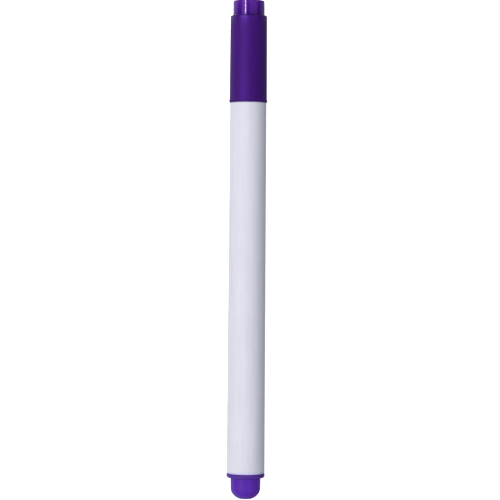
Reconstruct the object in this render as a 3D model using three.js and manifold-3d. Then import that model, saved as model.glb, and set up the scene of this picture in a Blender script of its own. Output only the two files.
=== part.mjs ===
// Fabric marking pen: a slim fibre-tip marker with a pull-off cap and a round-ended tail plug.
// Units are millimetres. Every piece is turned about the pen's axis. A station is a distance along that
// axis from the tail tip. The finished pen lies along X, with its cap towards -X.
import * as THREE from "three";
import { mergeVertices } from "three/addons/utils/BufferGeometryUtils.js";
import Module from "manifold-3d";

const wasm = await Module();
wasm.setup();

// Driving dimensions
const PEN_LENGTH = 138.0; // tail tip to cap top
const BARREL_REAR = 7.1; // station of the barrel's rear end
const BARREL_FRONT = 109.8; // station of the barrel's front end, where the cap's mouth stops
const BARREL_REAR_RADIUS = 5.27;
const BARREL_FRONT_RADIUS = 5.025;
const BARREL_WALL = 1.12;
const CAP_MOUTH_RADIUS = 5.17;
const CAP_SHOULDER_RADIUS = 5.04;
const CAP_BEAD_RADIUS = 5.27;
const CAP_BEAD_LENGTH = 0.85;
const CAP_TOP_WALL = 1.74;
const NECK_RADIUS = 4.29;
const NECK_LENGTH = 4.13;
const FLANGE_RADIUS = 5.3; // the tail plug's flange, against the barrel's rear end
const FLANGE_LENGTH = 1.13;
const PLUG_RADIUS = 4.13; // the part of the tail plug that stands out behind the flange
const PLUG_WALL = 1.2;
const PLUG_SPIGOT_LENGTH = 10.6; // how far the plug reaches into the barrel
const DOME_LENGTH = 3.0; // from the tail tip to the plug's straight side
const DOME_FLAT_RADIUS = 1.8; // the flat at the tail tip
const COLLAR_RADIUS = 4.15; // the front section's collar, which the cap slides over
const COLLAR_LENGTH = 8.0;
const NOSE_RADIUS = 1.75;
const NOSE_LENGTH = 2.9;
const NIB_RADIUS = 0.93;
const NIB_TIP = 129.9; // station of the nib's point, inside the cap
const NIB_REACH = 3.0; // how far the nib stands out of the nose
const NIB_DEPTH = 5.0; // how far the nib's rear end goes into the reservoir
const RESERVOIR_RADIUS = 3.5;
const RESERVOIR_LENGTH = 80.0;
const FILM_THICKNESS = 0.16;
const SEAL_HEAD_RADIUS = 3.05; // the inner seal's head, held in the neck's bore
const SEAL_SLEEVE_RADIUS = 2.6;
const SEAL_BORE_RADIUS = 2.05;

// Clearances
const SEAT_GAP = 0.06; // between end faces that butt
const SLIP = 0.05; // radial, between a piece and the bore that holds it
const CAP_SLIP = 0.14; // radial, between the cap's bore and the collar

// Crush ribs on a spigot
const CRUSH_RIB_COUNT = 6;
const CRUSH_RIB_HEIGHT = 0.06;
const CRUSH_RIB_WIDTH = 0.5;

// Edge breaks
const SHARP_EDGE = 0.12;
const SOFT_EDGE = 0.4;

const ROOTED = 0.3; // how deep a rib is sunk into the wall that it grows from
const PAST = 1.0; // how far a cutting bar runs past the face that it cuts

// Facets round a turned piece. A facet, not an edge, faces straight down, so the pen lies still.
const SIDES = 48;
const NIB_SIDES = 24;
const ARC_STEPS = 6;
const MERGE = 1e-4;

// Stations worked out from the driving dimensions
const FLANGE_FRONT = BARREL_REAR - SEAT_GAP;
const FLANGE_REAR = FLANGE_FRONT - FLANGE_LENGTH;
const PLUG_END = BARREL_REAR + PLUG_SPIGOT_LENGTH;
const RESERVOIR_REAR = PLUG_END + 0.3;
const RESERVOIR_FRONT = RESERVOIR_REAR + RESERVOIR_LENGTH;
const SECTION_REAR = RESERVOIR_FRONT + 0.6;
const CAP_MOUTH = BARREL_FRONT + SEAT_GAP;
const SNAP_BEAD = CAP_MOUTH + 4.4;
const COLLAR_END = CAP_MOUTH + COLLAR_LENGTH;
const NOSE_END = NIB_TIP - NIB_REACH;
const NECK_BASE = PEN_LENGTH - NECK_LENGTH;
const SEAL_END = PEN_LENGTH - CAP_TOP_WALL - SEAT_GAP;
const SEAL_HEAD_REAR = NECK_BASE - 2.6;

// The barrel's bore narrows evenly towards the front.
const BORE_REAR_RADIUS = BARREL_REAR_RADIUS - BARREL_WALL;
const BORE_FRONT_RADIUS = BARREL_FRONT_RADIUS - BARREL_WALL;

function boreRadius(station) {
  const share = (station - BARREL_REAR) / (BARREL_FRONT - BARREL_REAR);
  return THREE.MathUtils.lerp(BORE_REAR_RADIUS, BORE_FRONT_RADIUS, share);
}

const point = (radius, station) => new THREE.Vector2(radius, station);

// A round stretch of a profile. At 0 degrees it points away from the axis, and at 90 towards the cap.
function arc(radius, station, size, from, to, stretch = 1) {
  return Array.from({ length: ARC_STEPS + 1 }, (_, i) => {
    const angle = THREE.MathUtils.degToRad(THREE.MathUtils.lerp(from, to, i / ARC_STEPS));
    return point(radius + size * Math.cos(angle), station + size * stretch * Math.sin(angle));
  });
}

// Leaves a geometry with nothing but its positions, and joins the vertices that share a place.
function welded(geometry) {
  geometry.deleteAttribute("normal");
  geometry.deleteAttribute("uv");
  return mergeVertices(geometry, MERGE);
}

// Turns a profile that starts and ends on the axis. Its outside runs from tail to cap.
function turned(profile, sides = SIDES) {
  return welded(new THREE.LatheGeometry(profile, sides, Math.PI / sides));
}

// The same for a profile that closes on itself.
function turnedRing(profile) {
  return turned([...profile, profile[0].clone()]);
}

function solid(geometry) {
  return new wasm.Manifold(
    new wasm.Mesh({
      numProp: 3,
      vertProperties: new Float32Array(geometry.attributes.position.array),
      triVerts: new Uint32Array(geometry.index.array),
    }),
  );
}

function geometryOf(body) {
  const { vertProperties, triVerts } = body.getMesh();
  const geometry = new THREE.BufferGeometry();
  geometry.setAttribute("position", new THREE.BufferAttribute(vertProperties, 3));
  geometry.setIndex(new THREE.BufferAttribute(triVerts, 1));
  return geometry;
}

// Straight bars along the pen, evenly repeated round the axis.
function bars({ count, inner, outer, from, to, width }) {
  return Array.from({ length: count }, (_, i) => {
    const geometry = new THREE.BoxGeometry(width, to - from, outer - inner);
    geometry.translate(0, (from + to) / 2, (inner + outer) / 2);
    geometry.rotateY((2 * Math.PI * i) / count);
    return solid(welded(geometry));
  });
}

const join = (body, pieces) => pieces.reduce((whole, piece) => whole.add(piece), body);
const cut = (body, pieces) => pieces.reduce((whole, piece) => whole.subtract(piece), body);

function crushRibs(spigotRadius, from, to) {
  return bars({
    count: CRUSH_RIB_COUNT,
    inner: spigotRadius - ROOTED,
    outer: spigotRadius + CRUSH_RIB_HEIGHT,
    from,
    to,
    width: CRUSH_RIB_WIDTH,
  });
}

// The barrel: a plain tapered tube with long inner ribs that keep the reservoir central.
function barrelGeometry() {
  const tube = turnedRing([
    point(BARREL_REAR_RADIUS - SHARP_EDGE, BARREL_REAR),
    point(BARREL_REAR_RADIUS, BARREL_REAR + SHARP_EDGE),
    point(BARREL_FRONT_RADIUS, BARREL_FRONT - SHARP_EDGE),
    point(BARREL_FRONT_RADIUS - SHARP_EDGE, BARREL_FRONT),
    point(BORE_FRONT_RADIUS, BARREL_FRONT),
    point(BORE_REAR_RADIUS, BARREL_REAR),
  ]);
  const ribs = bars({
    count: 6,
    inner: RESERVOIR_RADIUS + 2 * SLIP,
    outer: BORE_REAR_RADIUS + ROOTED,
    from: RESERVOIR_REAR + 1.2,
    to: RESERVOIR_FRONT - 0.9,
    width: 0.7,
  });
  return geometryOf(join(solid(tube), ribs));
}

// The tail plug: a round end, a flange against the barrel, and a hollow spigot split into four fingers.
function endPlugGeometry() {
  const flangeEdge = 0.35;
  const bore = PLUG_RADIUS - PLUG_WALL;
  const spigot = boreRadius(PLUG_END) - SLIP - CRUSH_RIB_HEIGHT;
  const fingerLength = 3.0;
  const fingerLead = 0.6;
  const domeAngle = THREE.MathUtils.radToDeg(Math.acos(DOME_FLAT_RADIUS / PLUG_RADIUS));
  const domeStretch = DOME_LENGTH / Math.sqrt(PLUG_RADIUS ** 2 - DOME_FLAT_RADIUS ** 2);
  const profile = [
    point(0, 0),
    ...arc(0, DOME_LENGTH, PLUG_RADIUS, -domeAngle, 0, domeStretch),
    point(PLUG_RADIUS, FLANGE_REAR),
    ...arc(FLANGE_RADIUS - flangeEdge, FLANGE_REAR + flangeEdge, flangeEdge, -90, 0),
    point(FLANGE_RADIUS, FLANGE_FRONT - SHARP_EDGE),
    point(FLANGE_RADIUS - SHARP_EDGE, FLANGE_FRONT),
    point(spigot, FLANGE_FRONT),
    point(spigot, PLUG_END - fingerLead),
    point(spigot - SOFT_EDGE, PLUG_END),
    point(bore, PLUG_END),
    ...arc(0, PLUG_WALL + bore, bore, 0, -90),
  ];
  const ribs = crushRibs(spigot, FLANGE_FRONT - ROOTED, PLUG_END - fingerLength - 0.5);
  const slots = bars({
    count: 4,
    inner: 0,
    outer: FLANGE_RADIUS,
    from: PLUG_END - fingerLength,
    to: PLUG_END + PAST,
    width: 1.4,
  });
  return geometryOf(cut(join(solid(turned(profile)), ribs), slots));
}

// The nib holder: a ribbed spigot in the barrel, a collar with a snap bead for the cap, a cone and a nose.
function frontSectionGeometry() {
  const spigot = BORE_FRONT_RADIUS - SLIP - CRUSH_RIB_HEIGHT;
  const spigotLead = 0.6;
  const bore = NIB_RADIUS + SLIP;
  const cavity = spigot - 0.85;
  const beadHeight = 0.08;
  const beadHalf = 0.6;
  const beadCrestHalf = 0.2;
  const noseStart = NOSE_END - NOSE_LENGTH;
  const noseEdge = 0.25;
  const ventDepth = 0.3;
  const profile = [
    point(spigot - SOFT_EDGE, SECTION_REAR),
    point(spigot, SECTION_REAR + spigotLead),
    point(spigot, CAP_MOUTH),
    point(COLLAR_RADIUS - SHARP_EDGE, CAP_MOUTH),
    point(COLLAR_RADIUS, CAP_MOUTH + SHARP_EDGE),
    point(COLLAR_RADIUS, SNAP_BEAD - beadHalf),
    point(COLLAR_RADIUS + beadHeight, SNAP_BEAD - beadCrestHalf),
    point(COLLAR_RADIUS + beadHeight, SNAP_BEAD + beadCrestHalf),
    point(COLLAR_RADIUS, SNAP_BEAD + beadHalf),
    point(COLLAR_RADIUS, COLLAR_END - SOFT_EDGE),
    point(COLLAR_RADIUS - SOFT_EDGE, COLLAR_END),
    point(COLLAR_RADIUS - 2 * SOFT_EDGE, COLLAR_END),
    point(NOSE_RADIUS + SOFT_EDGE / 2, noseStart - SOFT_EDGE),
    point(NOSE_RADIUS, noseStart),
    point(NOSE_RADIUS, NOSE_END - noseEdge),
    point(NOSE_RADIUS - noseEdge, NOSE_END),
    point(bore, NOSE_END),
    point(bore, COLLAR_END + 3.0),
    point(cavity - 0.5, COLLAR_END - 2.0),
    point(cavity, COLLAR_END - 5.0),
    point(cavity, SECTION_REAR),
  ];
  const ribs = crushRibs(spigot, SECTION_REAR + 2.0, BARREL_FRONT - 0.4);
  const vents = bars({
    count: 2,
    inner: 0,
    outer: bore + ventDepth,
    from: COLLAR_END,
    to: NOSE_END + PAST,
    width: 0.5,
  });
  return geometryOf(cut(join(solid(turnedRing(profile)), ribs), vents));
}

// The nib: a fibre rod with a bullet point, and a blunt rear end that sits in the reservoir.
function nibGeometry() {
  const rear = RESERVOIR_FRONT - NIB_DEPTH;
  const rearTaper = 1.2;
  const pointLength = 1.7;
  const pointFlat = 0.22;
  const pointSize = NIB_RADIUS - pointFlat;
  const profile = [
    point(0, rear),
    point(NIB_RADIUS / 2, rear),
    point(NIB_RADIUS, rear + rearTaper),
    ...arc(pointFlat, NIB_TIP - pointLength, pointSize, 0, 90, pointLength / pointSize),
    point(0, NIB_TIP),
  ];
  return turned(profile, NIB_SIDES);
}

// The reservoir: a rod of bonded fibre with a pocket for the nib's rear end.
function reservoirFibreGeometry() {
  const radius = RESERVOIR_RADIUS - FILM_THICKNESS - SLIP;
  const pocketRadius = NIB_RADIUS + SLIP;
  const pocketEnd = RESERVOIR_FRONT - NIB_DEPTH - 5 * SEAT_GAP;
  return turned([
    point(0, RESERVOIR_REAR),
    point(radius, RESERVOIR_REAR),
    point(radius, RESERVOIR_FRONT),
    point(pocketRadius, RESERVOIR_FRONT),
    point(pocketRadius, pocketEnd),
    point(0, pocketEnd),
  ]);
}

// The film sleeve round the reservoir.
function reservoirFilmGeometry() {
  const inner = RESERVOIR_RADIUS - FILM_THICKNESS;
  return turnedRing([
    point(RESERVOIR_RADIUS, RESERVOIR_REAR),
    point(RESERVOIR_RADIUS, RESERVOIR_FRONT),
    point(inner, RESERVOIR_FRONT),
    point(inner, RESERVOIR_REAR),
  ]);
}

// The cap's shell: a mouth bead, a tapered skirt, a shoulder and a closed neck, with ribs round the seal.
function capShellGeometry() {
  const neckEdge = 0.28;
  const skirtBore = COLLAR_RADIUS + CAP_SLIP;
  const skirtEnd = COLLAR_END + 1.4;
  const middleBore = 3.7;
  const middleDraft = 0.08;
  const sealBore = SEAL_HEAD_RADIUS + SLIP;
  const beadEnd = CAP_MOUTH + CAP_BEAD_LENGTH;
  const mouthLead = 0.2;
  const grooveDepth = 0.06;
  const grooveHalf = 0.7;
  const outside = [
    point(CAP_BEAD_RADIUS - SHARP_EDGE, CAP_MOUTH),
    point(CAP_BEAD_RADIUS, CAP_MOUTH + SHARP_EDGE),
    point(CAP_BEAD_RADIUS, beadEnd - SHARP_EDGE),
    point(CAP_MOUTH_RADIUS, beadEnd),
    ...arc(CAP_SHOULDER_RADIUS - SOFT_EDGE, NECK_BASE - SOFT_EDGE, SOFT_EDGE, 0, 90),
    point(NECK_RADIUS, NECK_BASE),
    ...arc(NECK_RADIUS - neckEdge, PEN_LENGTH - neckEdge, neckEdge, 0, 90),
    point(0, PEN_LENGTH),
  ];
  const inside = [
    point(0, SEAL_END + SEAT_GAP),
    point(sealBore, SEAL_END + SEAT_GAP),
    point(sealBore, SEAL_HEAD_REAR),
    point(middleBore - middleDraft, SEAL_HEAD_REAR),
    point(middleBore, skirtEnd + skirtBore - middleBore),
    point(skirtBore, skirtEnd),
    point(skirtBore, SNAP_BEAD + grooveHalf),
    point(skirtBore + grooveDepth, SNAP_BEAD),
    point(skirtBore, SNAP_BEAD - grooveHalf),
    point(skirtBore, CAP_MOUTH + 2 * mouthLead),
    point(skirtBore + mouthLead, CAP_MOUTH),
  ];
  const ribs = bars({
    count: 4,
    inner: SEAL_SLEEVE_RADIUS + SLIP,
    outer: middleBore + ROOTED,
    from: SEAL_HEAD_REAR - 6.0,
    to: SEAL_HEAD_REAR + SEAT_GAP,
    width: 0.7,
  });
  return geometryOf(join(solid(turnedRing([...outside, ...inside])), ribs));
}

// The inner seal: a soft closed sleeve with a lip that runs round the front section's nose.
function capInnerSealGeometry() {
  const mouth = NOSE_END - NOSE_LENGTH + SOFT_EDGE;
  const lipRadius = NOSE_RADIUS + SLIP;
  const lipLength = 0.6;
  const closedEnd = SEAL_END - 1.3;
  const headRear = SEAL_HEAD_REAR + 2 * SEAT_GAP;
  const headEdge = 0.3;
  return turned([
    point(0, closedEnd),
    point(SEAL_BORE_RADIUS - 2 * SLIP, closedEnd),
    point(SEAL_BORE_RADIUS, mouth + lipLength + 2 * SOFT_EDGE),
    point(lipRadius, mouth + lipLength + SOFT_EDGE),
    point(lipRadius, mouth + SOFT_EDGE),
    point(SEAL_BORE_RADIUS, mouth),
    point(SEAL_SLEEVE_RADIUS - SHARP_EDGE, mouth),
    point(SEAL_SLEEVE_RADIUS, mouth + SHARP_EDGE),
    point(SEAL_SLEEVE_RADIUS, headRear),
    point(SEAL_HEAD_RADIUS, headRear),
    point(SEAL_HEAD_RADIUS, SEAL_END - headEdge),
    point(SEAL_HEAD_RADIUS - headEdge, SEAL_END),
    point(0, SEAL_END),
  ]);
}

const CAP_PLASTIC = { color: 0x4b2a86, roughness: 0.3 };
const SEAL_PLASTIC = { color: 0xe6e4dc, roughness: 0.6 };
const BARREL_PLASTIC = { color: 0xdadbe6, roughness: 0.55 };
const SECTION_PLASTIC = { color: 0xdadbe4, roughness: 0.45 };
const NIB_FIBRE = { color: 0x5a2aa0, roughness: 0.95 };
const RESERVOIR_FIBRE = { color: 0x6a3fb0, roughness: 1.0 };
const RESERVOIR_FILM = { color: 0xd8d8de, roughness: 0.2 };
const PLUG_PLASTIC = { color: 0x573399, roughness: 0.45 };

function piece(name, geometry, look) {
  geometry.computeVertexNormals();
  const mesh = new THREE.Mesh(geometry, new THREE.MeshStandardMaterial({ ...look, metalness: 0 }));
  mesh.name = name;
  return mesh;
}

const cap = new THREE.Group();
cap.add(piece("cap_shell", capShellGeometry(), CAP_PLASTIC));
cap.add(piece("cap_inner_seal", capInnerSealGeometry(), SEAL_PLASTIC));

const body = new THREE.Group();
body.add(piece("barrel", barrelGeometry(), BARREL_PLASTIC));
body.add(piece("front_section", frontSectionGeometry(), SECTION_PLASTIC));
body.add(piece("nib", nibGeometry(), NIB_FIBRE));
body.add(piece("reservoir_fibre", reservoirFibreGeometry(), RESERVOIR_FIBRE));
body.add(piece("reservoir_film", reservoirFilmGeometry(), RESERVOIR_FILM));
body.add(piece("end_plug", endPlugGeometry(), PLUG_PLASTIC));

// The turned pieces stand along Y. They are laid along X, with the origin on the axis at mid-length.
const laidDown = new THREE.Group();
laidDown.add(body, cap);
laidDown.rotation.z = Math.PI / 2;
laidDown.position.x = PEN_LENGTH / 2;

const pen = new THREE.Group();
pen.add(laidDown);

export default pen;
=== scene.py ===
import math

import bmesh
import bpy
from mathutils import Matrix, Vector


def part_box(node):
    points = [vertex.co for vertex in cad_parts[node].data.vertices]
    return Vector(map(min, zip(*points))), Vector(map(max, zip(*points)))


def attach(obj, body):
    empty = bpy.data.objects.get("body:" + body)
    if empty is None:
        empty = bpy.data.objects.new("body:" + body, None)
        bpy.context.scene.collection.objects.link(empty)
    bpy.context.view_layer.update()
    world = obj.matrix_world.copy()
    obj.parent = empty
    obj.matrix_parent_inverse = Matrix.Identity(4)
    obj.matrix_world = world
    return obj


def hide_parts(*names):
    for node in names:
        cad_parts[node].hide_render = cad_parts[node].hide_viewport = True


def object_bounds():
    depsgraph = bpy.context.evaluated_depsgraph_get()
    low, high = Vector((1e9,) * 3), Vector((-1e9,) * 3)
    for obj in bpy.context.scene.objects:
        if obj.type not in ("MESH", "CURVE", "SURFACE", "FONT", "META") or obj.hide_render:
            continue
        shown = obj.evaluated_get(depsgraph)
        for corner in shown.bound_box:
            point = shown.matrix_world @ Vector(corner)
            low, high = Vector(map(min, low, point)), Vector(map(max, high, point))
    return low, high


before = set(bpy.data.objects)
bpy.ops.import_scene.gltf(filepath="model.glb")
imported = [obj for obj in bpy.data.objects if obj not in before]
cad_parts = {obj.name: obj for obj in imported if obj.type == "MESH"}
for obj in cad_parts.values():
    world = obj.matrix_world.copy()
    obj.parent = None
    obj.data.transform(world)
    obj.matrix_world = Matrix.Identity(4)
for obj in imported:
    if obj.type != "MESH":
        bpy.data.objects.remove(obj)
cad_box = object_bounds()

# Looks for the fabric marking pen: turned plastic pieces, fibre nib and reservoir, on a pale studio floor.
#
# The pen lies along X with its cap towards -X. A station is a distance in millimetres from the tail tip
# along the pen's axis, and radii are in millimetres too. Everything in the scene is in metres.

MM = 0.001

# ---------------------------------------------------------------------------
# Places taken from the frame
# ---------------------------------------------------------------------------
FRAME_SIDES = 48  # the frame's pieces are polygons with this many sides, resting on a flat
ROUND = 1 / math.cos(math.pi / FRAME_SIDES)  # from a box's half height to the true radius


def station(x):
    """The station of the place x, which is in metres."""
    return (cad_box[1].x - x) / MM


def radius(node):
    """Largest radius of a node."""
    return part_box(node)[1].z / MM * ROUND


def ends(node):
    """The stations of a node's rear and front ends."""
    low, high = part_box(node)
    return station(high.x), station(low.x)


LENGTH = ends("cap_shell")[1]
BARREL_REAR, BARREL_FRONT = ends("barrel")
CAP_MOUTH = ends("cap_shell")[0]
PLUG_END = ends("end_plug")[1]
SECTION_REAR, NOSE_END = ends("front_section")
NIB_REAR, NIB_TIP = ends("nib")
RESERVOIR_REAR, RESERVOIR_FRONT = ends("reservoir_fibre")
SEAL_MOUTH, SEAL_END = ends("cap_inner_seal")
BARREL_REAR_RADIUS = radius("barrel")
CAP_BEAD_RADIUS = radius("cap_shell")
FLANGE_RADIUS = radius("end_plug")
SNAP_RADIUS = radius("front_section")
RESERVOIR_RADIUS = radius("reservoir_film")
SEAL_HEAD_RADIUS = radius("cap_inner_seal")

# Sizes in millimetres that the frame's boxes don't give
BARREL_FRONT_RADIUS = 5.025
BARREL_WALL = 1.12
CAP_MOUTH_RADIUS = 5.17
CAP_SHOULDER_RADIUS = 5.04
CAP_MIDDLE_BORE = 3.7
BEAD_LENGTH = 0.85
NECK_RADIUS = 4.33
NECK_LENGTH = 4.13
SHOULDER = LENGTH - NECK_LENGTH
RING_PITCH = 0.54
RING_DEPTH = 0.002
RING_COUNT = 6
FIRST_RING = LENGTH - 0.5
FLANGE_LENGTH = 1.13
PLUG_RADIUS = 4.13
PLUG_WALL = 1.2
DOME_LENGTH = 3.0
DOME_FLAT_RADIUS = 1.8
COLLAR_RADIUS = SNAP_RADIUS - 0.08
COLLAR_LENGTH = 8.0
SNAP_BEAD = 4.4  # from the cap's mouth to the middle of the snap bead
NOSE_RADIUS = 1.75
NOSE_LENGTH = 2.9
NIB_RADIUS = 0.93
SEAL_SLEEVE_RADIUS = 2.6
SEAL_BORE_RADIUS = 2.05
SEAL_HEAD_REAR = SHOULDER - 2.6
FILM_THICKNESS = 0.16
RIB_WIDTH = 0.7  # of the ribs that centre the reservoir and hold the seal
CRUSH_RIBS = 6  # round each piece that is pressed into the barrel
CRUSH_RIB_WIDTH = 0.5
CRUSH_RIB_HEIGHT = 0.06
SLIP = 0.05  # between pieces that fit together
SEAT_GAP = 0.06  # between pieces that meet end to end

# How finely the pieces are made
SEGMENTS = 160  # round an outer piece
INNER_SEGMENTS = 96  # round an inner piece
ARC_STEPS = 6  # in each rounded corner
CURVE_STEPS = 16  # in each dome
SUPPORT = 0.25  # how close a support ring stands to a rounded corner, as a share of its radius
STEP = 0.01  # the length of a rib's end face, and how nearly a radius is matched
CLOSE = 0.001  # how nearly a station is matched
ON_AXIS = 0.000001  # a radius smaller than this is on the axis
SHARP = math.radians(32)  # edges sharper than this aren't smoothed


# ---------------------------------------------------------------------------
# Turned pieces
# ---------------------------------------------------------------------------
def rounded(corners):
    """Points of an outline whose corners are (station, radius, size of the rounding).

    A rounding that is too large for its two sides is made as large as they allow.
    """
    points = []
    last = len(corners) - 1
    for i, (s, r, size) in enumerate(corners):
        here = Vector((s, r))
        if size == 0 or i in (0, last):
            points.append(here)
            continue
        before = Vector(corners[i - 1][:2]) - here
        after = Vector(corners[i + 1][:2]) - here
        half = before.angle(after) / 2
        reach = min(size / math.tan(half), before.length * 0.49, after.length * 0.49)
        size = reach * math.tan(half)
        before.normalize()
        after.normalize()
        centre = here + (before + after).normalized() * (size / math.sin(half))
        start = here + before * reach - centre
        end = here + after * reach - centre
        turn = start.angle_signed(end)
        points.append(centre + start + before * size * SUPPORT)
        for k in range(ARC_STEPS + 1):
            points.append(centre + Matrix.Rotation(-turn * k / ARC_STEPS, 2) @ start)
        points.append(centre + end + after * size * SUPPORT)
    return points


def stretched(points, longest):
    """The outline with its long straight stretches divided into even steps."""
    dense = [points[0]]
    for a, b in zip(points, points[1:]):
        steps = max(1, math.ceil((b - a).length / longest))
        dense += [a.lerp(b, k / steps) for k in range(1, steps + 1)]
    return dense


def bridge(mesh, a, b):
    """The faces between two neighbouring rings, either of which may be one point on the axis."""
    segments = max(len(a), len(b))
    if segments == 1:
        return
    for k in range(segments):
        n = (k + 1) % segments
        if len(a) == 1:
            mesh.faces.new((a[0], b[k], b[n]))
        elif len(b) == 1:
            mesh.faces.new((a[k], a[n], b[0]))
        else:
            mesh.faces.new((a[k], a[n], b[n], b[k]))


def turned(name, outline, relief=None, segments=SEGMENTS, closed=False):
    """A piece turned about the pen's axis, with an outline that meets the axis or is closed.

    relief(station, radius, angle) may change the radius.
    """
    mesh = bmesh.new()
    rings = []
    for s, r in outline:
        x = cad_box[1].x - s * MM
        if r < ON_AXIS:
            rings.append([mesh.verts.new((x, 0, 0))])
            continue
        ring = []
        for k in range(segments):
            angle = 2 * math.pi * k / segments
            size = (relief(s, r, angle) if relief else r) * MM
            ring.append(mesh.verts.new((x, size * math.sin(angle), size * math.cos(angle))))
        rings.append(ring)
    for a, b in zip(rings, rings[1:]):
        bridge(mesh, a, b)
    if closed:
        bridge(mesh, rings[-1], rings[0])
    bmesh.ops.recalc_face_normals(mesh, faces=mesh.faces)
    data = bpy.data.meshes.new(name)
    mesh.to_mesh(data)
    mesh.free()
    data.shade_smooth()
    data.set_sharp_from_angle(angle=SHARP)
    piece = bpy.data.objects.new(name, data)
    bpy.context.scene.collection.objects.link(piece)
    return piece


def near_ribs(angle, count, width, size):
    """True within a rib of that width, where count ribs stand evenly round that radius."""
    pitch = 2 * math.pi / count
    offset = (angle + pitch / 2) % pitch - pitch / 2
    return abs(offset) * size < width / 2


def bore_radius(s):
    """The tapering radius of the barrel's bore."""
    share = (s - BARREL_REAR) / (BARREL_FRONT - BARREL_REAR)
    rear = BARREL_REAR_RADIUS - BARREL_WALL
    front = BARREL_FRONT_RADIUS - BARREL_WALL
    return rear + (front - rear) * share


def make_barrel():
    """A tapering tube with ribs inside that centre the reservoir."""
    rib_count = 6
    rib_from = RESERVOIR_REAR + 1.2
    rib_to = RESERVOIR_FRONT - 0.9
    rib_radius = RESERVOIR_RADIUS + 2 * SLIP
    inner = [
        (BARREL_FRONT, bore_radius(BARREL_FRONT), 0.1),
        (rib_to + STEP, bore_radius(rib_to), 0),
        (rib_to, bore_radius(rib_to), 0),
        (rib_from, bore_radius(rib_from), 0),
        (rib_from - STEP, bore_radius(rib_from), 0),
        (BARREL_REAR, bore_radius(BARREL_REAR), 0.1),
    ]
    outer = [
        (BARREL_REAR, BARREL_REAR_RADIUS, 0.2),
        (BARREL_FRONT, BARREL_FRONT_RADIUS, 0.2),
    ]
    middle = (BARREL_REAR, bore_radius(BARREL_REAR) + 0.5, 0)
    outline = stretched(rounded([middle, *outer, *inner, middle]), 6.0)[:-1]

    def relief(s, r, angle):
        inside = r < BARREL_FRONT_RADIUS - BARREL_WALL + 0.3
        ribbed = inside and rib_from - CLOSE <= s <= rib_to + CLOSE
        return rib_radius if ribbed and near_ribs(angle, rib_count, RIB_WIDTH, rib_radius) else r

    return turned("barrel_tube", outline, relief, closed=True)


def neck_rings():
    """The wavy outline of the fine rings on the cap's neck, from its top."""
    steps = 8
    rings = []
    for k in range(RING_COUNT * steps + 1):
        depth = RING_DEPTH * (1 - math.cos(2 * math.pi * k / steps)) / 2
        rings.append((FIRST_RING - k * RING_PITCH / steps, NECK_RADIUS - depth, 0))
    return rings


def make_cap():
    """The cap's shell, open at its mouth, with the seal's ribs in its closed end."""
    skirt_bore = COLLAR_RADIUS + 0.14
    skirt_end = CAP_MOUTH + COLLAR_LENGTH + 1.4
    snap = CAP_MOUTH + SNAP_BEAD
    rib_count = 4
    seal_bore = SEAL_HEAD_RADIUS + SLIP
    rib_end = SEAL_HEAD_REAR - 6.0
    bead_end = CAP_MOUTH + BEAD_LENGTH
    dimple_radius = 0.75
    dimple_depth = 0.12
    fillet = 0.1
    outside = [
        (LENGTH - dimple_depth, 0, 0),
        (LENGTH - dimple_depth, dimple_radius - 0.1, 0.05),
        (LENGTH, dimple_radius + 0.1, 0.08),
        (LENGTH, NECK_RADIUS, 0.24),
        *neck_rings(),
        (SHOULDER, NECK_RADIUS, fillet),
        (SHOULDER, CAP_SHOULDER_RADIUS, 0.3),
        (bead_end + 0.12, CAP_MOUTH_RADIUS, 0.1),
        (bead_end, CAP_MOUTH_RADIUS - 0.05, 0.03),
        (bead_end - 0.08, CAP_BEAD_RADIUS, 0.12),
        (CAP_MOUTH, CAP_BEAD_RADIUS, 0.16),
    ]
    inside = [
        (CAP_MOUTH, skirt_bore + 0.2, 0.06),
        (CAP_MOUTH + 0.4, skirt_bore, 0.2),
        (snap - 0.7, skirt_bore, 0.3),
        (snap, skirt_bore + 0.06, 0.5),
        (snap + 0.7, skirt_bore, 0.3),
        (skirt_end, skirt_bore, 0.3),
        (skirt_end + skirt_bore - CAP_MIDDLE_BORE, CAP_MIDDLE_BORE, 0.3),
        (rib_end - STEP, CAP_MIDDLE_BORE, 0),
        (rib_end, CAP_MIDDLE_BORE, 0),
        (SEAL_HEAD_REAR, CAP_MIDDLE_BORE, 0),
        (SEAL_HEAD_REAR, seal_bore, 0.1),
        (SEAL_END + SEAT_GAP, seal_bore, 0.1),
        (SEAL_END + SEAT_GAP, 0, 0),
    ]
    outline = stretched(rounded(outside + inside), 3.0)

    def relief(s, r, angle):
        in_middle = abs(r - CAP_MIDDLE_BORE) < STEP
        ribbed = in_middle and rib_end - CLOSE <= s <= SEAL_HEAD_REAR + CLOSE
        inner = SEAL_SLEEVE_RADIUS + SLIP
        return inner if ribbed and near_ribs(angle, rib_count, RIB_WIDTH, inner) else r

    cap = turned("cap_moulding", outline, relief)
    for face in cap.data.polygons:
        on_neck = station(face.center.x) > SHOULDER + fillet / 2
        face.material_index = 1 if on_neck else 0
    return cap


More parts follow.
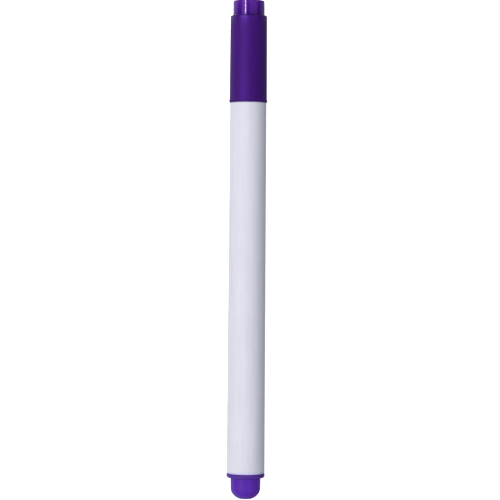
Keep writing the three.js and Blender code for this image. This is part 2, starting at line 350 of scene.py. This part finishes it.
def make_plug():
    """The round-ended tail plug, hollow, with four fingers that reach into the barrel."""
    flange_front = BARREL_REAR - SEAT_GAP
    flange_rear = flange_front - FLANGE_LENGTH
    bore = PLUG_RADIUS - PLUG_WALL
    spigot = bore_radius(PLUG_END) - SLIP - CRUSH_RIB_HEIGHT
    rib_end = PLUG_END - 3.5
    slot_length = 3.0
    slot_width = 1.4
    dome_angle = math.acos(DOME_FLAT_RADIUS / PLUG_RADIUS)
    depth = DOME_LENGTH / math.sin(dome_angle)
    dome_turns = [dome_angle * (1 - k / CURVE_STEPS) for k in range(1, CURVE_STEPS + 1)]
    dome = [(DOME_LENGTH - depth * math.sin(a), PLUG_RADIUS * math.cos(a), 0) for a in dome_turns]
    outside = [
        (0.0, 0.0, 0),
        (0.0, DOME_FLAT_RADIUS, 0.7),
        *dome,
        (flange_rear, PLUG_RADIUS + 0.01, 0.12),
        (flange_rear, FLANGE_RADIUS, 0.42),
        (flange_front, FLANGE_RADIUS, 0.26),
        (flange_front, spigot, 0.08),
        (rib_end, spigot, 0),
        (rib_end + STEP, spigot, 0),
        (PLUG_END - 0.6, spigot, 0.2),
        (PLUG_END, spigot - 0.4, 0.1),
    ]
    hollow_turns = [math.pi / 2 * k / CURVE_STEPS for k in range(CURVE_STEPS)]
    hollow = [(PLUG_WALL + bore - bore * math.sin(a), bore * math.cos(a), 0) for a in hollow_turns]
    inside = [(PLUG_END, bore, 0.1), *hollow, (PLUG_WALL, 0, 0)]
    outline = stretched(rounded(outside + inside), 2.0)

    def relief(s, r, angle):
        ribbed = abs(r - spigot) < STEP and flange_front + 0.2 < s <= rib_end + CLOSE
        on_rib = ribbed and near_ribs(angle, CRUSH_RIBS, CRUSH_RIB_WIDTH, spigot)
        return spigot + CRUSH_RIB_HEIGHT if on_rib else r

    plug = turned("tail_plug_moulding", outline, relief)
    cut_slots(plug, PLUG_END - slot_length, PLUG_END + 1.0, slot_width)
    return plug


def cut_slots(piece, start, end, width):
    """Two crossed slots that split a piece's hollow end into four fingers."""
    for turn in (0, math.pi / 2):
        data = bpy.data.meshes.new("cutter")
        mesh = bmesh.new()
        bmesh.ops.create_cube(mesh, size=1.0)
        size = Vector((end - start, width, 3 * PLUG_RADIUS)) * MM
        middle = Vector((cad_box[1].x - (start + end) / 2 * MM, 0, 0))
        mesh.transform(
            Matrix.Translation(middle) @ Matrix.Rotation(turn, 4, "X") @ Matrix.Diagonal((*size, 1))
        )
        mesh.to_mesh(data)
        mesh.free()
        cutter = bpy.data.objects.new("cutter", data)
        bpy.context.scene.collection.objects.link(cutter)
        cut = piece.modifiers.new("slots", "BOOLEAN")
        cut.operation = "DIFFERENCE"
        cut.solver = "EXACT"
        cut.object = cutter
        settled = bpy.data.meshes.new_from_object(
            piece.evaluated_get(bpy.context.evaluated_depsgraph_get())
        )
        piece.modifiers.clear()
        piece.data = settled
        bpy.data.objects.remove(cutter)


def make_section():
    """The nib holder: a spigot in the barrel, the collar that the cap grips, the cone and the nose."""
    bore = NIB_RADIUS + SLIP
    vent_count = 2
    vent_width = 0.5
    vent_depth = 0.3
    spigot = bore_radius(BARREL_FRONT) - SLIP - CRUSH_RIB_HEIGHT
    cavity = spigot - 0.85
    collar_end = CAP_MOUTH + COLLAR_LENGTH
    snap = CAP_MOUTH + SNAP_BEAD
    nose_start = NOSE_END - NOSE_LENGTH
    rib_from = SECTION_REAR + 2.0
    rib_to = BARREL_FRONT - 0.4
    corners = [
        (SECTION_REAR, cavity + 0.2, 0),
        (SECTION_REAR, spigot - 0.4, 0.1),
        (SECTION_REAR + 0.6, spigot, 0.3),
        (rib_from - STEP, spigot, 0),
        (rib_from, spigot, 0),
        (rib_to, spigot, 0),
        (rib_to + STEP, spigot, 0),
        (CAP_MOUTH, spigot, 0.04),
        (CAP_MOUTH, COLLAR_RADIUS, 0.12),
        (snap - 0.6, COLLAR_RADIUS, 0.4),
        (snap - 0.2, SNAP_RADIUS, 0.3),
        (snap + 0.2, SNAP_RADIUS, 0.3),
        (snap + 0.6, COLLAR_RADIUS, 0.4),
        (collar_end - 0.3, COLLAR_RADIUS, 0.4),
        (collar_end, COLLAR_RADIUS - 0.4, 0.3),
        (collar_end, COLLAR_RADIUS - 0.8, 0.2),
        (nose_start - 0.4, NOSE_RADIUS + 0.2, 0.8),
        (nose_start, NOSE_RADIUS, 0.8),
        (NOSE_END, NOSE_RADIUS, 0.3),
        (NOSE_END, bore, 0.08),
        (collar_end + 3.0, bore, 0.5),
        (collar_end - 2.0, cavity - 0.5, 0.5),
        (collar_end - 5.0, cavity, 0.5),
        (SECTION_REAR, cavity, 0.1),
        (SECTION_REAR, cavity + 0.2, 0),
    ]
    outline = stretched(rounded(corners), 2.0)[:-1]

    def relief(s, r, angle):
        if abs(r - spigot) < STEP and rib_from - CLOSE <= s <= rib_to + CLOSE:
            on_rib = near_ribs(angle, CRUSH_RIBS, CRUSH_RIB_WIDTH, spigot)
            return spigot + CRUSH_RIB_HEIGHT if on_rib else r
        beside_nib = r < bore + 0.1 and s > collar_end + 3.2
        on_vent = beside_nib and near_ribs(angle, vent_count, vent_width, bore)
        return bore + vent_depth if on_vent else r

    return turned("nib_holder", outline, relief, closed=True)


def make_nib():
    """A fibre rod with a bullet point, worn very slightly out of round."""
    point_length = 1.7
    flat = 0.22
    steps = 14
    size = NIB_RADIUS - flat
    start = NIB_TIP - point_length
    angles = [math.pi / 2 * k / steps for k in range(steps + 1)]
    bullet = [(start + point_length * math.sin(a), flat + size * math.cos(a), 0) for a in angles]
    corners = [
        (NIB_REAR, 0, 0),
        (NIB_REAR, NIB_RADIUS / 2, 0.1),
        (NIB_REAR + 1.2, NIB_RADIUS, 0.4),
        *bullet,
        (NIB_TIP, 0, 0),
    ]

    def relief(s, r, angle):
        wear = 0.012 * math.sin(3 * angle + 0.7)
        return r * (1 + wear * max(0.0, s - start) / point_length)

    return turned("fibre_nib", stretched(rounded(corners), 1.0), relief, segments=INNER_SEGMENTS)


def make_reservoir():
    """A rod of bonded fibre with a pocket in its front end for the nib."""
    size = RESERVOIR_RADIUS - FILM_THICKNESS - SLIP
    pocket = NIB_RADIUS + SLIP
    pocket_end = NIB_REAR - 5 * SEAT_GAP
    corners = [
        (RESERVOIR_REAR, 0, 0),
        (RESERVOIR_REAR, size, 0.15),
        (RESERVOIR_FRONT, size, 0.15),
        (RESERVOIR_FRONT, pocket, 0.1),
        (pocket_end, pocket, 0.1),
        (pocket_end, 0, 0),
    ]
    return turned("fibre_reservoir", stretched(rounded(corners), 4.0), segments=INNER_SEGMENTS)


def make_film():
    """The film sleeve round the reservoir, open at both ends."""
    inner = RESERVOIR_RADIUS - FILM_THICKNESS
    corners = [
        (RESERVOIR_REAR, inner + FILM_THICKNESS / 2, 0),
        (RESERVOIR_REAR, RESERVOIR_RADIUS, 0.03),
        (RESERVOIR_FRONT, RESERVOIR_RADIUS, 0.03),
        (RESERVOIR_FRONT, inner, 0.03),
        (RESERVOIR_REAR, inner, 0.03),
        (RESERVOIR_REAR, inner + FILM_THICKNESS / 2, 0),
    ]
    outline = stretched(rounded(corners), 4.0)[:-1]
    return turned("reservoir_wrap", outline, segments=INNER_SEGMENTS, closed=True)


def make_seal():
    """The soft sleeve that closes round the nose, with its head in the cap's closed end."""
    lip = NOSE_RADIUS + SLIP
    closed_end = SEAL_END - 1.3
    head_rear = SEAL_HEAD_REAR + 2 * SEAT_GAP
    corners = [
        (closed_end, 0, 0),
        (closed_end, SEAL_BORE_RADIUS - 0.1, 0.3),
        (SEAL_MOUTH + 1.4, SEAL_BORE_RADIUS, 0.3),
        (SEAL_MOUTH + 1.0, lip, 0.15),
        (SEAL_MOUTH + 0.4, lip, 0.15),
        (SEAL_MOUTH, SEAL_BORE_RADIUS, 0.1),
        (SEAL_MOUTH, SEAL_SLEEVE_RADIUS, 0.15),
        (head_rear, SEAL_SLEEVE_RADIUS, 0.1),
        (head_rear, SEAL_HEAD_RADIUS, 0.1),
        (SEAL_END, SEAL_HEAD_RADIUS, 0.3),
        (SEAL_END, 0, 0),
    ]
    return turned("seal_sleeve", stretched(rounded(corners), 1.5), segments=INNER_SEGMENTS)


# ---------------------------------------------------------------------------
# Materials
# ---------------------------------------------------------------------------
def linear(red, green, blue):
    """A display colour, 0 to 255, as scene-linear values."""
    def channel(c):
        c /= 255
        return c / 12.92 if c <= 0.04045 else ((c + 0.055) / 1.055) ** 2.4
    return (channel(red), channel(green), channel(blue), 1.0)


PLASTIC_IOR = 1.49
INK_STAIN = linear(128, 96, 196)
CAP_REFLECTION = {"IOR": 1.7, "Specular_IOR_Level": 0.9}
CAP_SEED = (0.1, 0.2, 0.3)
CAP_GRAIN = 0.008
NECK_GRAIN = 0.00024


class Shader:
    """A Principled material, with short calls that add the nodes of a texture."""

    def __init__(self, name, **settings):
        self.material = bpy.data.materials.new(name)
        self.material.use_nodes = True
        self.tree = self.material.node_tree
        self.shader = self.tree.nodes["Principled BSDF"]
        for socket, value in settings.items():
            self.shader.inputs[socket.replace("_", " ")].default_value = value
        self.place = self.add("ShaderNodeTexCoord").outputs["Object"]

    def add(self, kind, **fields):
        """A new node with those fields set."""
        node = self.tree.nodes.new(kind)
        for field, value in fields.items():
            setattr(node, field, value)
        return node

    def link(self, source, target):
        self.tree.links.new(source, target)

    def noise(self, scale, detail=4.0, roughness=0.55, stretch=(1, 1, 1), seed=(0, 0, 0)):
        """Noise with about scale features per millimetre, longer along an axis whose stretch is small."""
        mapping = self.add("ShaderNodeMapping")
        mapping.inputs["Scale"].default_value = stretch
        mapping.inputs["Location"].default_value = seed
        texture = self.add("ShaderNodeTexNoise")
        texture.inputs["Scale"].default_value = scale / MM
        texture.inputs["Detail"].default_value = detail
        texture.inputs["Roughness"].default_value = roughness
        self.link(self.place, mapping.inputs["Vector"])
        self.link(mapping.outputs["Vector"], texture.inputs["Vector"])
        return texture.outputs["Fac"]

    def spread(self, value, low, high, to_low=0.0, to_high=1.0):
        """Maps a value from low..high to to_low..to_high, and no further."""
        node = self.add("ShaderNodeMapRange")
        ends = {"From Min": low, "From Max": high, "To Min": to_low, "To Max": to_high}
        for socket, number in ends.items():
            node.inputs[socket].default_value = number
        self.link(value, node.inputs["Value"])
        return node.outputs["Result"]

    def mix(self, factor, first, second):
        """Blends two colours, each a colour or a socket."""
        node = self.add("ShaderNodeMix", data_type="RGBA")
        self.link(factor, node.inputs["Factor"])
        for identifier, colour in (("A_Color", first), ("B_Color", second)):
            socket = next(i for i in node.inputs if i.identifier == identifier)
            if isinstance(colour, tuple):
                socket.default_value = colour
            else:
                self.link(colour, socket)
        return next(o for o in node.outputs if o.identifier == "Result_Color")

    def maths(self, operation, *values):
        """The result of a maths node on numbers or sockets."""
        node = self.add("ShaderNodeMath", operation=operation)
        for socket, value in zip(node.inputs, values):
            if isinstance(value, (int, float)):
                socket.default_value = value
            else:
                self.link(value, socket)
        return node.outputs[0]

    def plus(self, value, mark, share):
        """The value, raised by that share of the mark."""
        return self.maths("MULTIPLY_ADD", mark, share, value)

    def stained(self, tone, mark, share, colour):
        """The tone, with that share of another colour where the mark is."""
        return self.mix(self.maths("MULTIPLY", mark, share), tone, colour)

    def along(self):
        """The station of each point, in millimetres."""
        split = self.add("ShaderNodeSeparateXYZ")
        self.link(self.place, split.inputs["Vector"])
        return self.maths("MULTIPLY_ADD", split.outputs["X"], -1 / MM, cad_box[1].x / MM)

    def near(self, along, places, reach):
        """1 at each of those stations, and 0 from reach millimetres away."""
        closest = None
        for place in places:
            away = self.maths("ABSOLUTE", self.maths("SUBTRACT", along, place))
            mark = self.spread(away, 0.0, reach, 1.0, 0.0)
            closest = self.maths("MAXIMUM", closest, mark) if closest else mark
        return closest

    def patchy(self, mark, scale, seed):
        """The mark broken up by noise, as wear and stains are."""
        patches = self.noise(scale, detail=5, roughness=0.65, seed=seed)
        return self.maths("MULTIPLY", mark, self.spread(patches, 0.42, 0.62))

    def bump(self, height, distance):
        """A bump whose full height is distance, in millimetres."""
        node = self.add("ShaderNodeBump")
        node.inputs["Distance"].default_value = distance * MM
        self.link(height, node.inputs["Height"])
        return node.outputs["Normal"]

    def finish(self, colour, roughness, normal):
        """Connects the texture to the shader, and gives the finished material."""
        self.link(colour, self.shader.inputs["Base Color"])
        self.link(roughness, self.shader.inputs["Roughness"])
        self.link(normal, self.shader.inputs["Normal"])
        return self.material


class Plastic(Shader):
    """Moulded plastic: faint flow streaks along the pen, a soft mottle, fine grain and a few scuffs."""

    def __init__(self, name, seed, **settings):
        super().__init__(name, **settings)
        self.seed = seed
        self.streaks = self.noise(0.9, detail=5, roughness=0.6, stretch=(0.06, 1, 1), seed=seed)
        self.mottle = self.noise(0.22, detail=3, roughness=0.5, stretch=(0.5, 1, 1), seed=seed)
        scuffs = self.noise(3.2, detail=8, roughness=0.75, stretch=(0.15, 1, 1), seed=seed)
        self.scuffed = self.spread(scuffs, 0.62, 0.72)

    def clouded(self, body, light, dark, share):
        """The body colour, darker between streaks and lighter in patches and, by that share, in scuffs."""
        tone = self.mix(self.spread(self.streaks, 0.35, 0.65), dark, body)
        tone = self.mix(self.spread(self.mottle, 0.45, 0.75, 0.0, 0.6), tone, light)
        return self.stained(tone, self.scuffed, share, light)

    def drift(self, low, high):
        """A value that drifts between two ends with the mottle."""
        return self.spread(self.mottle, 0.3, 0.7, low, high)

    def skin(self):
        """The height of the streaks, with a fine grain over them."""
        grain = self.noise(9.0, detail=3, roughness=0.6, seed=self.seed)
        return self.plus(self.streaks, grain, 0.35)


def moulded(name, body, light, dark, rough, seed, **settings):
    """A plain moulded plastic with faint long scratches: its shader, colour, roughness and normal."""
    s = Plastic(name, seed, IOR=PLASTIC_IOR, **settings)
    tone = s.clouded(body, light, dark, 0.25)
    lines = s.noise(6.0, detail=2, roughness=0.5, stretch=(0.02, 1, 0.7), seed=seed)
    scratches = s.spread(lines, 0.66, 0.72)
    roughness = s.plus(s.drift(rough - 0.03, rough + 0.04), s.scuffed, 0.12)
    roughness = s.plus(roughness, scratches, 0.1)
    normal = s.bump(s.plus(s.skin(), scratches, -0.5), 0.012)
    return s, tone, roughness, normal


def rubbed(s, tone, roughness, places):
    """The cap's edges at those stations, rubbed paler and duller."""
    worn = s.patchy(s.near(s.along(), places, 0.25), 1.6, (0.7, 0.1, 0.4))
    return s.stained(tone, worn, 0.35, linear(112, 74, 168)), s.plus(roughness, worn, 0.1)


def cap_satin():
    """The cap below its neck: satin, and smoother towards the shoulder."""
    rough = 0.62
    smoother = 0.28
    fade_length = 4.5
    s = Plastic("cap_satin", CAP_SEED, **CAP_REFLECTION, Specular_Tint=(0.3, 0.12, 0.95, 1))
    tone = s.clouded(linear(54, 4, 92), linear(60, 8, 100), linear(48, 1, 84), 0.2)
    fade = s.maths("POWER", s.spread(s.along(), SHOULDER - fade_length, SHOULDER), 2.0)
    roughness = s.plus(rough, fade, -smoother)
    roughness = s.maths("ADD", roughness, s.drift(-0.03, 0.04))
    roughness = s.plus(roughness, s.scuffed, 0.08)
    tone, roughness = rubbed(s, tone, roughness, (CAP_MOUTH, CAP_MOUTH + BEAD_LENGTH, SHOULDER))
    return s.finish(tone, roughness, s.bump(s.skin(), CAP_GRAIN))


def cap_gloss():
    """The cap's neck: polished, with fine rings darkened by painted shade, and painted lighter towards its
    top.
    """
    s = Plastic("cap_gloss", CAP_SEED, **CAP_REFLECTION, Specular_Tint=(0.158, 0.108, 0.21, 1))
    # Its body colour is paler than the satin's, a painted reflection in place of the broad sheen that the
    # satin part reflects.
    tone = s.clouded(linear(70, 15, 131), linear(76, 21, 139), linear(63, 10, 121), 0.2)
    along = s.along()
    turn = s.maths("MULTIPLY", s.maths("SUBTRACT", along, FIRST_RING), 2 * math.pi / RING_PITCH)
    # Painted shade in the grooves of the fine rings.
    groove_shade = s.spread(s.maths("COSINE", turn), -1.0, 1.0, 0.5, 0.0)
    tone = s.mix(groove_shade, tone, linear(42, 2, 84))
    # Painted light: the neck is paler towards its top and darker, in painted shade, towards the shoulder.
    paler = s.spread(along, SHOULDER, LENGTH, 0.0, 0.35)
    tone = s.mix(paler, tone, linear(116, 46, 186))
    tone, roughness = rubbed(s, tone, s.drift(0.09, 0.12), (LENGTH,))
    return s.finish(tone, roughness, s.bump(s.skin(), NECK_GRAIN))


def plug_plastic():
    """Satin, rubbed at its tip and flange, with painted shade that greys the flange and is darkest at the
    barrel.
    """
    s, tone, roughness, normal = moulded(
        "plug_plastic",
        linear(93, 37, 175),
        linear(101, 45, 183),
        linear(85, 31, 165),
        rough=0.5,
        seed=(0.5, 0.1, 0.7),
        Specular_IOR_Level=0.5,
        Specular_Tint=(0.25, 0.4, 0.1, 1),
    )
    along = s.along()
    flange_rear = BARREL_REAR - FLANGE_LENGTH
    worn = s.patchy(s.near(along, (0.0, flange_rear), 0.35), 1.4, (0.2, 0.9, 0.3))
    tone = s.stained(tone, worn, 0.3, linear(124, 84, 190))
    # Painted shade: the flange, and all of the plug in front of it, is greyed.
    flange_shade = s.spread(along, flange_rear - 0.02, flange_rear + 0.1)
    tone = s.stained(tone, flange_shade, 0.5, linear(80, 50, 124))
    # Painted shade: darker still next to the barrel, where the two parts meet.
    joint_shade = s.spread(along, BARREL_REAR - 0.4, BARREL_REAR - 0.1)
    tone = s.stained(tone, joint_shade, 0.2, linear(56, 42, 90))
    return s.finish(tone, roughness, normal)


def barrel_plastic():
    """White, with rubbed ends, smooth handled patches, and a painted reflection of the purple plug on its
    rear end.
    """
    s, tone, roughness, normal = moulded(
        "barrel_plastic",
        linear(226, 226, 234),
        linear(230, 230, 238),
        linear(221, 221, 230),
        rough=0.5,
        seed=(0.3, 0.6, 0.2),
        Specular_IOR_Level=0.3,
    )
    along = s.along()
    # Painted reflection: the rear end is tinted lavender, as if lit by the purple plug beside it.
    plug_reflection = s.spread(along, BARREL_REAR + 0.1, BARREL_REAR + 0.8, 0.75, 0.0)
    tone = s.mix(plug_reflection, tone, linear(202, 191, 248))
    worn = s.patchy(s.near(along, (BARREL_REAR, BARREL_FRONT), 0.4), 1.2, (0.6, 0.3, 0.8))
    tone = s.stained(tone, worn, 0.3, linear(204, 203, 210))
    touch = s.noise(0.09, detail=4, roughness=0.6, stretch=(0.5, 1, 1), seed=(0.8, 0.5, 0.2))
    handled = s.spread(touch, 0.5, 0.75)
    return s.finish(tone, s.plus(roughness, handled, -0.1), normal)


def section_plastic():
    """White, rubbed smooth on the snap bead, with ink on the nose round the nib."""
    s, tone, roughness, normal = moulded(
        "section_plastic",
        linear(226, 227, 233),
        linear(232, 233, 238),
        linear(218, 220, 227),
        rough=0.4,
        seed=(0.9, 0.4, 0.1),
        Specular_IOR_Level=0.45,
    )
    along = s.along()
    on_bead = s.near(along, (CAP_MOUTH + SNAP_BEAD,), 0.6)
    roughness = s.plus(roughness, on_bead, -0.15)
    tone = s.stained(tone, s.patchy(on_bead, 1.1, (0.4, 0.4, 0.9)), 0.15, linear(190, 190, 200))
    inked = s.patchy(s.spread(along, NOSE_END - 0.9, NOSE_END), 1.3, (0.1, 0.7, 0.6))
    tone = s.stained(tone, inked, 0.6, INK_STAIN)
    return s.finish(tone, roughness, normal)


def seal_plastic():
    """Natural plastic, a little yellow, with ink on the lip."""
    s, tone, roughness, normal = moulded(
        "seal_plastic",
        linear(226, 224, 214),
        linear(234, 232, 224),
        linear(216, 214, 203),
        rough=0.5,
        seed=(0.2, 0.8, 0.5),
        Specular_IOR_Level=0.4,
    )
    inked = s.patchy(s.near(s.along(), (SEAL_MOUTH + 0.6,), 1.0), 1.3, (0.3, 0.6, 0.1))
    tone = s.stained(tone, inked, 0.5, INK_STAIN)
    return s.finish(tone, roughness, normal)


def nib_fibre():
    """Dry bonded fibre along the nib, stained with ink."""
    s = Shader("nib_fibre", Sheen_Weight=0.15, Sheen_Roughness=0.5, Specular_IOR_Level=0.2)
    fibres = s.noise(14.0, detail=3, roughness=0.6, stretch=(0.04, 1, 1))
    ink = s.noise(1.5, detail=4, roughness=0.6, stretch=(0.5, 1, 1), seed=(0.3, 0.1, 0.4))
    tone = s.mix(s.spread(fibres, 0.35, 0.65), linear(58, 26, 112), linear(104, 66, 176))
    tone = s.mix(s.spread(ink, 0.4, 0.7, 0.0, 0.5), tone, linear(48, 18, 98))
    return s.finish(tone, s.spread(fibres, 0.3, 0.7, 0.95, 0.8), s.bump(fibres, 0.05))


def reservoir_fibre():
    """Looser fibre, soaked with ink."""
    s = Shader("reservoir_fibre", Sheen_Weight=0.2, Sheen_Roughness=0.5, Specular_IOR_Level=0.2)
    fibres = s.noise(8.0, detail=4, roughness=0.65, stretch=(0.03, 1, 1))
    ink = s.noise(0.15, detail=3, roughness=0.5, stretch=(0.4, 1, 1), seed=(0.2, 0.5, 0.1))
    tone = s.mix(s.spread(fibres, 0.35, 0.65), linear(96, 62, 168), linear(142, 112, 204))
    tone = s.mix(s.spread(ink, 0.4, 0.7, 0.0, 0.6), tone, linear(84, 48, 156))
    return s.finish(tone, s.spread(fibres, 0.3, 0.7, 1.0, 0.85), s.bump(fibres, 0.08))


def reservoir_film():
    """Thin glossy film with long wrinkles, tinted by the ink under it."""
    s = Shader("reservoir_film", IOR=1.5, Specular_IOR_Level=0.5)
    wrinkles = s.noise(0.5, detail=5, roughness=0.6, stretch=(0.15, 1, 1), seed=(0.6, 0.2, 0.9))
    ink = s.noise(0.1, detail=3, roughness=0.5, stretch=(0.4, 1, 1), seed=(0.2, 0.5, 0.1))
    tone = s.mix(s.spread(ink, 0.35, 0.7), linear(214, 208, 230), linear(196, 184, 224))
    return s.finish(tone, s.spread(wrinkles, 0.3, 0.7, 0.14, 0.28), s.bump(wrinkles, 0.06))


def dress(piece, node, body, slot, *materials):
    """Puts a finished piece in place of its node in the frame."""
    for material in materials:
        piece.data.materials.append(material)
    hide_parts(node)
    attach(piece, body)


def make_pen():
    """All eight pieces, each on the body of the node that it replaces."""
    dress(make_barrel(), "barrel", "pen_body", "barrel_plastic", barrel_plastic())
    dress(make_section(), "front_section", "pen_body", "section_plastic", section_plastic())
    dress(make_nib(), "nib", "pen_body", "nib_fibre", nib_fibre())
    dress(make_reservoir(), "reservoir_fibre", "pen_body", "reservoir_fibre", reservoir_fibre())
    dress(make_film(), "reservoir_film", "pen_body", "reservoir_film", reservoir_film())
    dress(make_plug(), "end_plug", "pen_body", "plug_plastic", plug_plastic())
    dress(make_cap(), "cap_shell", "cap", "cap_plastic", cap_satin(), cap_gloss())
    dress(make_seal(), "cap_inner_seal", "cap", "seal_plastic", seal_plastic())


# ---------------------------------------------------------------------------
# Stage, lights and camera
# ---------------------------------------------------------------------------
FLOOR_HALF = 6.0
FLOOR_GAP = 0.00001  # between the floor and the pen
FLOOR_WHITE = (0.9, 0.9, 0.9, 1)
FLOOR_SHADOW_FADE = (-0.006, 0.006, 0.9, 0.45)  # a painted shadow: the floor's albedo falls from 0.9 to 0.45 across the pen, darker on the side away from the key
FLOOR_GLOW = (0.2, 0.7, 0.85, 1.1)  # and it glows from 0.85 near the pen up to 1.1 far away
SKY_FILL = (0.82, 0.86, 1.0, 1)
SKY_STRENGTH = 0.08
SKY_SEEN_STRENGTH = 1.2  # to the camera
CAMERA_HEIGHT = 0.555
CAMERA_LENS = 144.05
CAMERA_X = -0.004  # it stands a little towards the cap from the pen's middle, and looks at the middle
CAMERA_SIDE = 0.0008
CAMERA_SENSOR = 36.0
CAMERA_LEAN = math.radians(0.43)


def show_to_camera(tree, plain, seen, output):
    """Shows one shader to the camera, and the plain one to every other ray."""
    path = tree.nodes.new("ShaderNodeLightPath")
    choose = tree.nodes.new("ShaderNodeMixShader")
    tree.links.new(path.outputs["Is Camera Ray"], choose.inputs["Fac"])
    tree.links.new(plain, choose.inputs[1])
    tree.links.new(seen, choose.inputs[2])
    tree.links.new(choose.outputs[0], tree.nodes[output].inputs["Surface"])


def floor_paper():
    """Pale paper that glows white to the camera, and to every other ray is darker on the pen's side away
    from the key, as a painted shadow.
    """
    s = Shader("floor_paper", Roughness=0.9, Specular_IOR_Level=0.1)
    across = s.add("ShaderNodeSeparateXYZ")
    s.link(s.place, across.inputs["Vector"])
    s.link(s.spread(across.outputs["Y"], *FLOOR_SHADOW_FADE), s.shader.inputs["Base Color"])
    away = s.add("ShaderNodeVectorMath", operation="LENGTH")
    s.link(s.place, away.inputs[0])
    glow = s.add("ShaderNodeEmission")
    s.link(s.spread(away.outputs["Value"], *FLOOR_GLOW), glow.inputs["Strength"])
    paper = s.add("ShaderNodeBsdfDiffuse")
    paper.inputs["Color"].default_value = FLOOR_WHITE
    seen = s.add("ShaderNodeAddShader")
    s.link(paper.outputs[0], seen.inputs[0])
    s.link(glow.outputs[0], seen.inputs[1])
    show_to_camera(s.tree, s.shader.outputs[0], seen.outputs[0], "Material Output")
    return s.material


def make_floor():
    """A wide floor just under the pen."""
    level = -FLANGE_RADIUS * MM - FLOOR_GAP
    corners = [(-1, -1), (1, -1), (1, 1), (-1, 1)]
    data = bpy.data.meshes.new("floor")
    data.from_pydata([(x * FLOOR_HALF, y * FLOOR_HALF, level) for x, y in corners], [], [(0, 1, 2, 3)])
    data.materials.append(floor_paper())
    floor = bpy.data.objects.new("floor", data)
    bpy.context.scene.collection.objects.link(floor)


def make_sky():
    """White to the camera, and a dim even fill to everything else."""
    world = bpy.data.worlds.new("studio")
    bpy.context.scene.world = world
    world.use_nodes = True
    tree = world.node_tree
    fill = tree.nodes["Background"]
    fill.inputs["Color"].default_value = SKY_FILL
    fill.inputs["Strength"].default_value = SKY_STRENGTH
    white = tree.nodes.new("ShaderNodeBackground")
    white.inputs["Color"].default_value = (1, 1, 1, 1)
    white.inputs["Strength"].default_value = SKY_SEEN_STRENGTH
    show_to_camera(tree, fill.outputs[0], white.outputs[0], "World Output")


def softbox(name, angle, distance, x, width, length, radiance, colour):
    """A rectangular light facing the pen's axis, at that angle from overhead, towards +Y.

    Its length lies along X and its width across. radiance is its brightness as the pen sees it.
    """
    light = bpy.data.lights.new(name, "AREA")
    light.shape = "RECTANGLE"
    light.size = length
    light.size_y = width
    light.energy = radiance * math.pi * width * length
    light.color = colour
    turn = math.radians(angle)
    lamp = bpy.data.objects.new(name, light)
    lamp.location = (x, distance * math.sin(turn), distance * math.cos(turn))
    lamp.rotation_euler = (-turn, 0, 0)
    lamp.visible_camera = False
    bpy.context.scene.collection.objects.link(lamp)


def make_lights():
    """A large soft key, a wide dim fill opposite it, and a small lamp that glints on the neck."""
    softbox(
        "key",
        angle=-34,
        distance=0.9,
        x=0.05,
        width=0.6,
        length=1.6,
        radiance=2.35,
        colour=(0.965, 0.965, 1.0),
    )
    softbox(
        "fill",
        angle=34,
        distance=1.0,
        x=0.45,
        width=1.1,
        length=1.6,
        radiance=0.97,
        colour=(0.9, 0.925, 1.0),
    )
    softbox(
        "lamp",
        angle=-24.4,
        distance=0.6,
        x=-0.13,
        width=0.075,
        length=0.07,
        radiance=48.0,
        colour=(1.0, 1.0, 1.0),
    )


def make_camera():
    """Looks straight down at the pen, with the cap at the top of the picture."""
    data = bpy.data.cameras.new("camera")
    data.lens = CAMERA_LENS
    data.sensor_width = CAMERA_SENSOR
    camera = bpy.data.objects.new("camera", data)
    tilt = math.atan2(-CAMERA_X, CAMERA_HEIGHT)
    camera.matrix_world = (
        Matrix.Translation((CAMERA_X, CAMERA_SIDE, CAMERA_HEIGHT))
        @ Matrix.Rotation(math.radians(90), 4, "Z")
        @ Matrix.Rotation(-tilt, 4, "X")
        @ Matrix.Rotation(CAMERA_LEAN, 4, "Z")
    )
    bpy.context.scene.collection.objects.link(camera)
    bpy.context.scene.camera = camera


bpy.context.scene.view_settings.view_transform = "Standard"
make_camera()
make_pen()
make_floor()
make_sky()
make_lights()
